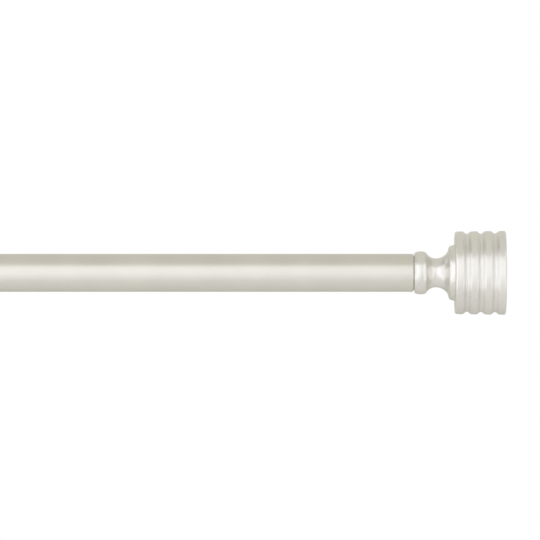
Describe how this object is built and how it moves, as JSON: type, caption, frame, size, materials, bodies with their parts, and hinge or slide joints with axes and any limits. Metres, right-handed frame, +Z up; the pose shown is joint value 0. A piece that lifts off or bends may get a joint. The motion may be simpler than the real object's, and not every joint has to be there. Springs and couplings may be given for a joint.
{
  "type": "curtain rod with brackets",
  "caption": "Telescoping round curtain rod in satin champagne metal, with ribbed drum finials, resting in two open cradles on adjustable wall brackets.",
  "frame": {"origin": "on the wall plane, at the centre of the right bracket's wall plate, midway between its two wall anchors", "axes": "+X along the rod towards the end of the fixed (outer) tube, +Y into the wall, +Z up"},
  "size_m": [1.3426, 0.1571, 0.064],
  "materials": {
    "tube_metal": "satin champagne nickel plate over steel tube",
    "finial_metal": "soft-gloss champagne nickel",
    "bracket_metal": "satin champagne nickel",
    "zinc_steel": "bright zinc plate",
    "nylon_dark": "black nylon",
    "nylon_pale": "natural nylon",
    "pad_rubber": "soft grey lining",
    "anchor_plastic": "pale grey polypropylene"
  },
  "bodies": {
    "wall_mounts": {"right_wall_plate": "zinc_steel", "right_arm_sleeve": "bracket_metal", "right_arm_bolt": "zinc_steel", "right_wall_screws": "zinc_steel", "right_wall_anchors": "anchor_plastic", "left_wall_plate": "zinc_steel", "left_arm_sleeve": "bracket_metal", "left_arm_bolt": "zinc_steel", "left_wall_screws": "zinc_steel", "left_wall_anchors": "anchor_plastic"},
    "right_cover": {"right_wall_cover": "bracket_metal"},
    "right_arm": {"right_arm_rod": "bracket_metal", "right_cradle": "bracket_metal", "right_cradle_screw": "zinc_steel", "right_cradle_pad": "pad_rubber"},
    "right_arm_lock_tip": {"right_arm_lock_tip": "nylon_pale"},
    "right_arm_lock": {"right_arm_lock_screw": "bracket_metal"},
    "right_rod_lock_tip": {"right_rod_lock_tip": "nylon_pale"},
    "right_rod_lock": {"right_rod_lock_screw": "bracket_metal"},
    "left_cover": {"left_wall_cover": "bracket_metal"},
    "left_arm": {"left_arm_rod": "bracket_metal", "left_cradle": "bracket_metal", "left_cradle_screw": "zinc_steel", "left_cradle_pad": "pad_rubber"},
    "left_arm_lock_tip": {"left_arm_lock_tip": "nylon_pale"},
    "left_arm_lock": {"left_arm_lock_screw": "bracket_metal"},
    "left_rod_lock_tip": {"left_rod_lock_tip": "nylon_pale"},
    "left_rod_lock": {"left_rod_lock_screw": "bracket_metal"},
    "rod": {"outer_tube": "tube_metal", "tube_mouth_bush": "nylon_dark", "right_end_plug": "nylon_pale", "right_plug_nut": "zinc_steel"},
    "rod_extension": {"inner_tube": "tube_metal", "inner_tube_glide": "nylon_pale", "left_end_plug": "nylon_pale", "left_plug_nut": "zinc_steel"},
    "right_finial_washer": {"right_finial_washer": "nylon_pale"},
    "right_finial": {"right_finial_neck": "finial_metal", "right_finial_drum": "finial_metal", "right_finial_back_disc": "finial_metal", "right_finial_stud": "zinc_steel", "right_finial_nut": "zinc_steel"},
    "left_finial_washer": {"left_finial_washer": "nylon_pale"},
    "left_finial": {"left_finial_neck": "finial_metal", "left_finial_drum": "finial_metal", "left_finial_back_disc": "finial_metal", "left_finial_stud": "zinc_steel", "left_finial_nut": "zinc_steel"}
  },
  "joints": [
    {"name": "right_cover_slide", "type": "slide", "parent": "wall_mounts", "child": "right_cover", "axis": [0, -1, 0], "range_m": [0, 0.025]},
    {"name": "right_arm_slide", "type": "slide", "parent": "wall_mounts", "child": "right_arm", "axis": [0, -1, 0], "range_m": [-0.005, 0.025]},
    {"name": "right_arm_lock_travel", "type": "slide", "parent": "wall_mounts", "child": "right_arm_lock_tip", "axis": [0, 0, -1], "range_m": [0, 0.00321]},
    {"name": "right_arm_lock_turn", "type": "hinge", "parent": "right_arm_lock_tip", "child": "right_arm_lock", "pos_m": [0, -0.0515, -0.0112], "axis": [0, 0, -1], "range_deg": [0, 1440]},
    {"name": "right_rod_lock_travel", "type": "slide", "parent": "right_arm", "child": "right_rod_lock_tip", "axis": [0, 0, -1], "range_m": [0, 0.00641]},
    {"name": "right_rod_lock_turn", "type": "hinge", "parent": "right_rod_lock_tip", "child": "right_rod_lock", "pos_m": [0, -0.095, -0.028], "axis": [0, 0, -1], "range_deg": [0, 2880]},
    {"name": "left_cover_slide", "type": "slide", "parent": "wall_mounts", "child": "left_cover", "axis": [0, -1, 0], "range_m": [0, 0.025]},
    {"name": "left_arm_slide", "type": "slide", "parent": "wall_mounts", "child": "left_arm", "axis": [0, -1, 0], "range_m": [-0.005, 0.025]},
    {"name": "left_arm_lock_travel", "type": "slide", "parent": "wall_mounts", "child": "left_arm_lock_tip", "axis": [0, 0, -1], "range_m": [0, 0.00321]},
    {"name": "left_arm_lock_turn", "type": "hinge", "parent": "left_arm_lock_tip", "child": "left_arm_lock", "pos_m": [-0.5588, -0.0515, -0.0112], "axis": [0, 0, -1], "range_deg": [0, 1440]},
    {"name": "left_rod_lock_travel", "type": "slide", "parent": "left_arm", "child": "left_rod_lock_tip", "axis": [0, 0, -1], "range_m": [0, 0.00641]},
    {"name": "left_rod_lock_turn", "type": "hinge", "parent": "left_rod_lock_tip", "child": "left_rod_lock", "pos_m": [-0.5588, -0.095, -0.028], "axis": [0, 0, -1], "range_deg": [0, 2880]},
    {"name": "rod_lift", "type": "slide", "parent": "right_arm", "child": "rod", "axis": [0, 0, 1], "range_m": [0, 0.04]},
    {"name": "rod_telescope", "type": "slide", "parent": "rod", "child": "rod_extension", "axis": [-1, 0, 0], "range_m": [0, 0.9144]},
    {"name": "right_finial_travel", "type": "slide", "parent": "rod", "child": "right_finial_washer", "axis": [1, 0, 0], "range_m": [0, 0.00901]},
    {"name": "right_finial_turn", "type": "hinge", "parent": "right_finial_washer", "child": "right_finial", "pos_m": [0.3302, -0.095, -0.005], "axis": [1, 0, 0], "range_deg": [0, 3240]},
    {"name": "left_finial_travel", "type": "slide", "parent": "rod_extension", "child": "left_finial_washer", "axis": [-1, 0, 0], "range_m": [0, 0.00901]},
    {"name": "left_finial_turn", "type": "hinge", "parent": "left_finial_washer", "child": "left_finial", "pos_m": [-0.889, -0.095, -0.005], "axis": [-1, 0, 0], "range_deg": [0, 3240]}
  ],
  "couplings": [
    {"joint": "right_arm_lock_travel", "follows": "right_arm_lock_turn", "m_per_rad": 0.00012732},
    {"joint": "right_rod_lock_travel", "follows": "right_rod_lock_turn", "m_per_rad": 0.00012732},
    {"joint": "left_arm_lock_travel", "follows": "left_arm_lock_turn", "m_per_rad": 0.00012732},
    {"joint": "left_rod_lock_travel", "follows": "left_rod_lock_turn", "m_per_rad": 0.00012732},
    {"joint": "left_arm_slide", "follows": "right_arm_slide", "ratio": 1},
    {"joint": "right_finial_travel", "follows": "right_finial_turn", "m_per_rad": 0.00015915},
    {"joint": "left_finial_travel", "follows": "left_finial_turn", "m_per_rad": 0.00015915}
  ]
}
